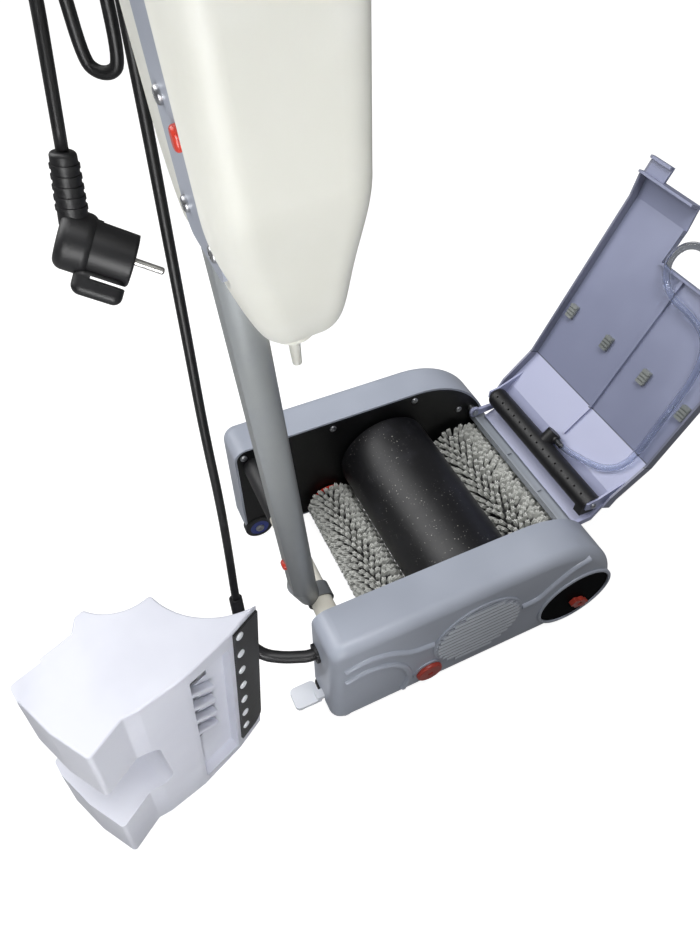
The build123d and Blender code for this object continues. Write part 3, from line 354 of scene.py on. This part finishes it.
COVER_GREY = moulded("cover_grey", rgb(174, 180, 193), rgb(162, 168, 181), 0.30, 0.12, shine=0.35)
VENT_GREY = slatted("vent_grey", rgb(220, 225, 235), rgb(208, 214, 224))
LID_LILAC = lid_sheet("lid_lilac")
SILL_GREY = moulded("sill_grey", rgb(172, 177, 185), rgb(156, 162, 170), 0.3, 0.2)
CLIP_GREY = moulded("clip_grey", rgb(140, 144, 142), rgb(112, 117, 116), 0.38)
CAP_BLACK = moulded("cap_black", rgb(6, 7, 8), rgb(4, 5, 6), 0.6, 0.0, 1500.0, 0.00006, 0.03)
BLACK_MOULD = moulded("black_mould", rgb(34, 34, 36), rgb(22, 22, 24), 0.42, 0.0, 1500.0, 0.00006)
RED_MOULD = moulded("red_mould", rgb(214, 66, 48), rgb(196, 48, 36), 0.28, 0.3)
KNOB_RED = moulded("knob_red", rgb(178, 66, 52), rgb(158, 52, 42), 0.32, 0.2)
HUB_BLUE = moulded("hub_blue", rgb(56, 70, 140), rgb(36, 46, 104), 0.3, 0.2)
CREAM_PAINT = moulded("cream_paint", rgb(238, 235, 224), rgb(226, 222, 208), 0.35)
PEDAL_PALE = moulded("pedal_pale", rgb(226, 229, 236), rgb(210, 214, 222), 0.36)
NYLON = moulded("gear_nylon", rgb(228, 226, 214), rgb(214, 211, 196), 0.44)
MOTOR_PAINT = moulded("motor_paint", rgb(72, 74, 80), rgb(56, 58, 62), 0.4)
PLATE_BLACK = scuffed_sheet("plate_black", rgb(9, 10, 11), rgb(110, 112, 112), 0.42)
DRUM_BLACK = drum_coat("drum_black")
TANK_CREAM = milky("tank_cream", rgb(246, 246, 234), rgb(238, 238, 224), 0.020, 0.42)
TANK_WHITE = milky("tank_white", rgb(214, 216, 226), rgb(204, 206, 217), 0.006, 0.34, 0.12)
PEG_WHITE = moulded("peg_white", rgb(236, 238, 242), rgb(222, 225, 230), 0.35)
HOSE_CLEAR = clear_tube("hose_clear")
POLE_GREY = pole_coat("pole_grey")
STEEL = bare_steel("screw_steel", (0.62, 0.63, 0.65, 1.0), (0.42, 0.43, 0.45, 1.0))
PIN_NICKEL = bare_steel("pin_nickel", (0.80, 0.79, 0.76, 1.0), (0.66, 0.65, 0.62, 1.0))
TYRE_RUBBER = rubber("tyre_rubber", rgb(30, 31, 33), rgb(86, 86, 86), 0.62)
STRIP_RUBBER = rubber("strip_rubber", rgb(20, 20, 21), rgb(52, 52, 52), 0.5)
CORD_RUBBER = rubber("cord_rubber", rgb(17, 17, 19), rgb(46, 46, 48), 0.38)
GRIP_RUBBER = rubber("grip_rubber", rgb(24, 24, 26), rgb(60, 60, 62), 0.55)
FRONT_NYLON = bristle("front_bristle_nylon", (FRONT_BRUSH["x"], FRONT_BRUSH["r"]), FRONT_BRUSH["core"],
                      FRONT_BRUSH["r"])
REAR_NYLON = bristle("rear_bristle_nylon", (REAR_BRUSH["x"], REAR_BRUSH["r"]), REAR_BRUSH["core"], REAR_BRUSH["r"])

FINISH_OF = {
    COVER_GREY: ["left_housing", "right_housing", "bracket_plate"],
    VENT_GREY: ["vent_grille"],
    LID_LILAC: ["lid_shell"],
    SILL_GREY: ["front_crossbar"],
    CLIP_GREY: ["lid_clips"],
    CAP_BLACK: ["brush_access_cap"],
    BLACK_MOULD: ["tube_sockets", "shaft_bushes", "cord_gland", "cord_hook",
                  "plug_body", "filler_cap", "spray_bar", "spray_fitting"],
    RED_MOULD: ["pole_button", "tank_button", "rear_brush_disc"],
    KNOB_RED: ["front_knob", "rear_knob"],
    HUB_BLUE: ["left_hub", "right_hub"],
    CREAM_PAINT: ["cross_tube"],
    PEDAL_PALE: ["pedal"],
    NYLON: ["drum_gear", "front_idler", "front_brush_gear", "rear_idler_a", "rear_idler_b", "rear_brush_gear",
            "motor_pinion"],
    MOTOR_PAINT: ["motor"],
    PLATE_BLACK: ["left_side_plate", "right_side_plate"],
    DRUM_BLACK: ["drum_shell"],
    TANK_CREAM: ["solution_tank", "outlet_spout"],
    TANK_WHITE: ["recovery_tank"],
    PEG_WHITE: ["strip_pegs"],
    HOSE_CLEAR: ["hose"],
    POLE_GREY: ["pole", "pole_foot"],
    STEEL: ["plate_screws", "axle_pins", "front_brush_shaft", "rear_brush_shaft", "bracket_screws", "lid_screws",
            "drum_ends"],
    PIN_NICKEL: ["plug_pins"],
    TYRE_RUBBER: ["left_tyre", "right_tyre"],
    STRIP_RUBBER: ["scraper_strip"],
    GRIP_RUBBER: ["grip"],
    CORD_RUBBER: ["cord_riser", "cord_coil", "cord_tail"],
    FRONT_NYLON: ["front_brush"],
    REAR_NYLON: ["rear_brush"],
}


def paint(obj, material):
    obj.data.materials.clear()
    obj.data.materials.append(material)


for finish, names in FINISH_OF.items():
    for node_name in names:
        paint(NODES[node_name], finish)


# Floor and backdrop
FLOOR_SIZE, FLOOR_TONE, FLOOR_GLOW, SKY_FILL = 12.0, 0.30, 0.93, 0.14


def lay_floor():
    """A matt floor that the camera sees as white."""
    bpy.ops.mesh.primitive_plane_add(size=FLOOR_SIZE, location=(0.0, 0.0, 0.0))
    floor = bpy.context.object
    floor.name = "studio_floor"
    f = Finish("studio_white", {"Base Color": (FLOOR_TONE, FLOOR_TONE, FLOOR_TONE, 1.0), "Roughness": 0.9,
                                "Specular IOR Level": 0.1, "Emission Color": (1.0, 1.0, 1.0, 1.0)})
    seen = f.node("ShaderNodeLightPath", out=0)
    f.feed(f.shader.inputs["Emission Strength"], FLOOR_GLOW * seen)
    paint(floor, f.material)


def light_world():
    """A sky that looks white, also through the hose, and lights the machine only weakly."""
    world = bpy.data.worlds.new("studio_world")
    bpy.context.scene.world = world
    world.use_nodes = True
    nodes, links = world.node_tree.nodes, world.node_tree.links
    sky = nodes["Background"]
    path = nodes.new("ShaderNodeLightPath")
    seen = nodes.new("ShaderNodeMath")
    seen.operation = "MAXIMUM"
    links.new(path.outputs["Is Camera Ray"], seen.inputs[0])
    links.new(path.outputs["Is Transmission Ray"], seen.inputs[1])
    strength = nodes.new("ShaderNodeMapRange")
    links.new(seen.outputs[0], strength.inputs["Value"])
    strength.inputs["To Min"].default_value = SKY_FILL
    strength.inputs["To Max"].default_value = 1.0
    links.new(strength.outputs[0], sky.inputs["Strength"])
    sky.inputs["Color"].default_value = (1.0, 1.0, 1.0, 1.0)


lay_floor()
light_world()
bpy.context.scene.view_settings.view_transform = "Standard"


# Modelling helpers
def clear_selection():
    bpy.ops.object.select_all(action="DESELECT")


def make_active(obj):
    clear_selection()
    obj.select_set(True)
    bpy.context.view_layer.objects.active = obj


def settle(obj):
    """Puts a piece's place, turn and size into its mesh."""
    make_active(obj)
    bpy.ops.object.transform_apply(location=True, rotation=True, scale=True)


def new_mesh(name, points, faces, material):
    mesh = bpy.data.meshes.new(name)
    mesh.from_pydata(points, [], faces)
    mesh.update()
    obj = bpy.data.objects.new(name, mesh)
    bpy.context.scene.collection.objects.link(obj)
    paint(obj, material)
    return obj


# Cords
def in_metres(points):
    return [Vector(p) * MM for p in points]


def spline_points(route, steps):
    """Points on the route's smooth spline."""
    curve = bpy.data.curves.new("route", "CURVE")
    curve.dimensions = "3D"
    curve.resolution_u = steps
    spline = curve.splines.new("NURBS")
    spline.points.add(len(route) - 1)
    for point, at in zip(spline.points, route):
        point.co = (at.x, at.y, at.z, 1.0)
    spline.order_u = 3
    spline.use_endpoint_u = True
    holder = bpy.data.objects.new("route", curve)
    bpy.context.scene.collection.objects.link(holder)
    bpy.context.view_layer.update()
    mesh = bpy.data.meshes.new_from_object(holder)
    line = [v.co.copy() for v in mesh.vertices]
    bpy.data.objects.remove(holder)
    bpy.data.curves.remove(curve)
    bpy.data.meshes.remove(mesh)
    return line


def tube_rings(line, radius, sides):
    """Rings of points round a line, turned as little as possible from one to the next."""
    rings = []
    ahead = (line[1] - line[0]).normalized()
    side = ahead.orthogonal().normalized()
    for i, at in enumerate(line):
        step = (line[min(i + 1, len(line) - 1)] - line[max(i - 1, 0)]).normalized()
        side = (side - step * side.dot(step)).normalized()
        up = step.cross(side)
        rings.append([at + radius * (math.cos(a) * side + math.sin(a) * up)
                      for a in (2 * math.pi * k / sides for k in range(sides))])
    return rings


def tube_mesh(name, line, radius, sides, material, bore=None):
    """A closed round tube along a line, with a bore where one is given."""
    walls = [tube_rings(line, radius, sides)]
    if bore:
        walls.append([ring[::-1] for ring in tube_rings(line, bore, sides)])
    points, faces = [], []
    for rings in walls:
        first = len(points)
        points += [p for ring in rings for p in ring]
        for i in range(len(rings) - 1):
            for k in range(sides):
                a, b = first + i * sides + k, first + i * sides + (k + 1) % sides
                faces.append((a, b, b + sides, a + sides))
    inner, last = len(walls[0]) * sides, (len(line) - 1) * sides
    if bore:
        for k in range(sides):
            k2 = (k + 1) % sides
            a, b = inner + sides - 1 - k, inner + sides - 1 - k2
            faces.append((k2, k, a, b))
            faces.append((last + k, last + k2, last + b, last + a))
    else:
        faces += [tuple(range(sides))[::-1], tuple(last + k for k in range(sides))]
    obj = new_mesh(name, points, faces, material)
    for polygon in obj.data.polygons:
        polygon.use_smooth = len(polygon.vertices) == 4
    return obj


def at_handle(f, y, u):
    """A point f ahead of the leaning pole's line and u along it."""
    x0, _, z0 = POLE_BASE
    c, s = math.cos(POLE_LEAN), math.sin(POLE_LEAN)
    return (x0 + f * c - u * s, y, z0 + u * c + f * s)


def coil_point(turn_deg):
    """A point on the coil, which winds from its start towards the machine's left."""
    a = math.radians(turn_deg)
    y = COIL_Y + COIL_PITCH * (turn_deg - COIL_START) / 360
    return at_handle(COIL_F + COIL_R * math.cos(a), y, COIL_U + COIL_R * math.sin(a))


def beyond(b, a, d):
    """The point d past a, on the line that comes from b."""
    return tuple(p + d * (p - q) / math.dist(a, b) for p, q in zip(a, b))


def mains_route():
    """From the boot up to the coil, round it, down to a bight, over the hook and down to the plug."""
    total = 360 * (COIL_TURNS - 1) + COIL_END - COIL_START
    count = round(total / 360 * COIL_STEPS)
    coil = [coil_point(COIL_START + total * i / count) for i in range(count + 1)]
    riser = [(-203, -119, 108), (-216, -119, 108), (-238, -110, 108), (-254, -101, 110), (-264, -92, 121),
             (-267, -83, 142), (-265, -70, 180), (-260, -55, 226), (-256, -43, 290), (-254, -29, 360),
             (-250, -16, 432), (-246, -2, 505), (-242, 12, 575), (-240, 20, 640), (-237, 22, 705),
             (-232, 19, 765), (-226, 10, 820), beyond(coil[1], coil[0], LEAD_IN)]
    drop = [beyond(coil[-2], coil[-1], LEAD_IN), (-304, 50, 824), (-292, 48, 772), (-279, 46, 722),
            (-270, 43, 676), (-265.5, 41, 640)]
    across = Vector((17, -11, 0)).normalized()
    bend = BIGHT_R / math.cos(math.radians(22.5))
    bottom = [Vector(BIGHT_AT) + bend * (math.cos(math.radians(a)) * across
                                         + math.sin(math.radians(a)) * Vector((0, 0, 1)))
              for a in (202.5, 247.5, 292.5, 337.5)]
    climb = [(-246, 29, 640), (-245.5, 34, 680), (-245, 43, 735), (-244.5, 53, 790), (-243, 61, 845),
             (-241.5, 64, 905), (-241, 64, 975)]
    peg_x, _, peg_z = at_handle(COIL_F, 0, PEG_U)
    over = (PEG_R + CORD_D / 2 + 0.5) / math.cos(math.radians(22.5))
    loop = [(peg_x + over * math.cos(math.radians(a)), 64.5, peg_z + over * math.sin(math.radians(a)))
            for a in (22.5, 67.5, 112.5, 157.5)]
    fall = [(-278, 65.5, 975), (-279, 66, 905), (-279, 65, 835), (-278, 62, 770), (-276.5, 55, 700),
            (-277.5, 45, 640), (-284, 36, 597), PLUG_TOP]
    return in_metres(riser + coil + drop + bottom + climb + loop + fall)


def lay_mains_cord():
    line = spline_points(mains_route(), MAINS_STEPS)
    cord = tube_mesh("mains_cord", line, CORD_D / 2 * MM, CORD_TUBE_SIDES, CORD_RUBBER)
    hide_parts("cord_riser", "cord_coil", "cord_tail")
    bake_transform(cord)


def lid_at(s, y, n):
    """A point s up the open lid and n off its inner face."""
    return (LID_FOOT[0] + s * LID_DIR[0] - n * LID_DIR[1], y, LID_FOOT[1] + s * LID_DIR[1] + n * LID_DIR[0])


def lay_lid_hose():
    route = [(147.84, -10.4, 144.01), (147.84, -24, 144.01), (154, -44, 146), (160, -65, 150.5),
             (168, -80, 158), (178.5, -86, 169),
             lid_at(14, -86, 5.5), lid_at(62, -83, 4.8), lid_at(112, -81, 4.8), lid_at(146, -67, 4.8),
             lid_at(155, -38, 5.5), lid_at(157, -8, 9), lid_at(170, 12, 10.5), lid_at(190, 20, 11),
             lid_at(208, 14, 2), lid_at(208, -4, -16), lid_at(188, -20, -20), lid_at(150, -32, -14),
             lid_at(100, -40, -9.5), lid_at(30, -46, -9.5)]
    line = spline_points(in_metres(route), HOSE_STEPS)
    hose = tube_mesh("lid_hose", line, HOSE_D / 2 * MM, CORD_TUBE_SIDES, HOSE_CLEAR, HOSE_BORE / 2 * MM)
    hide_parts("hose")
    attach(hose, "lid")


lay_mains_cord()
lay_lid_hose()


# Brushes: round tufts of strands on a shouldered core
STRANDS_A_TUFT, STRAND_R, TUFT_SPREAD, TIP_SPREAD = 9, 1.05, 1.9, 1.5
GOLDEN_TURN = 2.39996
TUFT_SINK, TIP_GAP, TUFT_END = 1.0, 0.3, 5.0
SHOULDER_IN, SHOULDER_RISE = 3.5, 2.0


def model_tuft(root, reach):
    """One tuft that stands along +X: tapered strands that fan out towards their tips, joined."""
    clear_selection()
    strands = []
    for i in range(STRANDS_A_TUFT):
        turn = i * GOLDEN_TURN
        spread = TUFT_SPREAD * math.sqrt(i / STRANDS_A_TUFT)
        foot = Vector((root, spread * math.cos(turn), spread * math.sin(turn)))
        tip = Vector((reach - 0.5 * spread, TIP_SPREAD * foot.y, TIP_SPREAD * foot.z))
        bpy.ops.mesh.primitive_cone_add(vertices=4, radius1=STRAND_R * MM, radius2=0.7 * STRAND_R * MM,
                                        depth=(tip - foot).length * MM, location=(foot + tip) / 2 * MM,
                                        rotation=(tip - foot).to_track_quat("Z", "Y").to_euler())
        strands.append(bpy.context.object)
    for strand in strands:
        strand.select_set(True)
    bpy.ops.object.join()
    tuft = bpy.context.object
    settle(tuft)
    return tuft


def set_tufts(name, brush, material):
    """Copies one tuft over the brush in staggered rows and joins the copies."""
    rng = random.Random(7)
    x0, z0 = brush["x"], brush["r"]
    tuft = model_tuft(brush["core"] - TUFT_SINK, brush["r"] - TIP_GAP)
    copies = []
    for k in range(TUFT_STATIONS):
        y = -BRUSH_HALF + TUFT_END + k * 2 * (BRUSH_HALF - TUFT_END) / (TUFT_STATIONS - 1)
        for j in range(brush["rows"]):
            turn = (j + 0.5 * (k % 2) + rng.uniform(-0.10, 0.10)) * 360 / brush["rows"]
            copy = tuft.copy()
            copy.data = tuft.data.copy()
            copy.matrix_world = (Matrix.Translation(Vector((x0, y, z0)) * MM)
                                 @ Matrix.Rotation(-math.radians(turn), 4, "Y")
                                 @ Matrix.Rotation(rng.uniform(-0.05, 0.05), 4, "Z")
                                 @ Matrix.Rotation(rng.uniform(0.0, 6.28), 4, "X"))
            bpy.context.scene.collection.objects.link(copy)
            copies.append(copy)
    bpy.data.objects.remove(tuft)
    make_active(copies[0])
    for copy in copies:
        copy.select_set(True)
    bpy.ops.object.join()
    tufts = bpy.context.object
    tufts.name = name
    settle(tufts)
    paint(tufts, material)
    return tufts


def turn_sleeve(name, brush):
    """The brush's core: a sleeve with a shoulder at each end."""
    clear_selection()
    bpy.ops.mesh.primitive_cylinder_add(vertices=48, radius=brush["core"] * MM, depth=2 * BRUSH_HALF * MM,
                                        location=(brush["x"] * MM, 0.0, brush["r"] * MM),
                                        rotation=(math.pi / 2, 0.0, 0.0))
    sleeve = bpy.context.object
    sleeve.name = name
    bpy.ops.object.mode_set(mode="EDIT")
    bpy.ops.mesh.select_mode(type="FACE")
    bpy.ops.mesh.select_all(action="DESELECT")
    bpy.ops.object.mode_set(mode="OBJECT")
    for polygon in sleeve.data.polygons:
        polygon.select = len(polygon.vertices) > 4
    bpy.ops.object.mode_set(mode="EDIT")
    bpy.ops.mesh.inset(thickness=SHOULDER_IN * MM)
    bpy.ops.mesh.extrude_region_shrink_fatten(TRANSFORM_OT_shrink_fatten={"value": -SHOULDER_RISE * MM})
    bpy.ops.object.mode_set(mode="OBJECT")
    settle(sleeve)
    bpy.ops.object.shade_smooth_by_angle(angle=math.radians(40))
    paint(sleeve, BLACK_MOULD)
    return sleeve


for side_name, brush, nylon in (("front", FRONT_BRUSH, FRONT_NYLON), ("rear", REAR_BRUSH, REAR_NYLON)):
    strands = set_tufts(side_name + "_bristles", brush, nylon)
    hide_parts(side_name + "_brush")
    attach(strands, side_name + "_brush")
    core = turn_sleeve(side_name + "_brush_core", brush)
    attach(core, side_name + "_brush")
